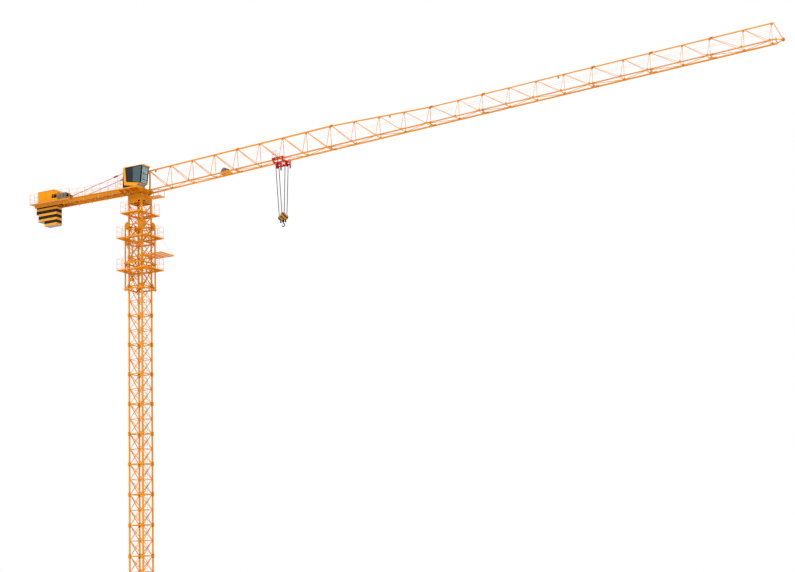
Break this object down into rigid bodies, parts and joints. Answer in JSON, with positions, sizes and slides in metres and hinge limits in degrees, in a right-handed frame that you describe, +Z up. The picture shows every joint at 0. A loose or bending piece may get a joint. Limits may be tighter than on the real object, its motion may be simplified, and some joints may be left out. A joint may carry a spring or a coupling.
{
  "type": "tower crane, 1:10 scale model",
  "caption": "Flat-top tower crane scale model: lattice mast with climbing cage, slewing jib and counter-jib, cab, travelling trolley, and a hook block on hoist ropes.",
  "frame": {"origin": "on the ground under the mast's centre line, on the underside of the base frame", "axes": "+X along the jib at rest, +Z up, -Y towards the cab's side"},
  "size_m": [8.0265, 0.355, 4.7462],
  "materials": {
    "crane_paint": "satin",
    "red_paint": "satin",
    "cab_paint": "satin",
    "cab_glazing": "glossy",
    "striped_concrete": "matte",
    "dark_steel": "matte",
    "wire_rope": "matte",
    "grey_machinery": "satin",
    "galvanized": "matte"
  },
  "bodies": {
    "mast": {"base_frame": "crane_paint", "mast_legs": "crane_paint", "mast_near_side": "crane_paint", "mast_jib_side": "crane_paint", "mast_far_side": "crane_paint", "mast_counter_side": "crane_paint", "mast_ladder": "galvanized", "slewing_seat": "crane_paint", "cage_legs": "crane_paint", "cage_sides": "crane_paint", "top_platform": "crane_paint", "cage_platforms": "crane_paint", "platform_railings": "crane_paint", "feeding_platform": "crane_paint", "feeding_stays": "crane_paint", "climbing_jack": "grey_machinery", "hydraulic_unit": "grey_machinery"},
    "upperworks": {"turntable": "crane_paint", "head_frames": "crane_paint", "head_beams": "crane_paint", "cab_floor": "cab_paint", "cab_walls": "cab_paint", "cab_glass": "cab_glazing", "cab_roof": "cab_paint", "cab_platform": "crane_paint", "root_platform": "crane_paint", "jib_top_chord": "crane_paint", "jib_root_sides": "crane_paint", "jib_taper_sides": "crane_paint", "jib_outer_sides": "crane_paint", "jib_bottom_bracing": "crane_paint", "trolley_rails": "crane_paint", "jib_tip": "crane_paint", "trolley_winch": "grey_machinery", "jib_ropes": "wire_rope", "rope_guides": "dark_steel", "counter_jib_beams": "crane_paint", "counter_jib_ties": "crane_paint", "counter_jib_deck": "galvanized", "counter_jib_railings": "crane_paint", "tie_rods": "red_paint", "rear_platform": "galvanized", "counterweights": "striped_concrete", "machinery_house": "crane_paint", "hoist_winch": "grey_machinery"},
    "trolley": {"trolley_frame": "red_paint", "trolley_wheels": "dark_steel", "trolley_sheaves": "dark_steel", "trolley_basket": "red_paint"},
    "hook_block": {"hook_block": "crane_paint", "hoist_ropes": "wire_rope"},
    "hook": {"hook": "dark_steel"}
  },
  "joints": [
    {"name": "slew", "type": "hinge", "parent": "mast", "child": "upperworks", "pos_m": [0, 0, 4.2555], "axis": [0, 0, 1], "continuous": true},
    {"name": "trolley_travel", "type": "slide", "parent": "upperworks", "child": "trolley", "axis": [0.9989, 0, 0.0464], "range_m": [-1.274, 4.76]},
    {"name": "hoist", "type": "slide", "parent": "trolley", "child": "hook_block", "axis": [0, 0, -1], "range_m": [-0.38, 3.5], "deforming": ["hoist_ropes"]},
    {"name": "hook_swivel", "type": "hinge", "parent": "hook_block", "child": "hook", "pos_m": [1.71306, 0, 3.724], "axis": [0, 0, 1], "continuous": true}
  ]
}
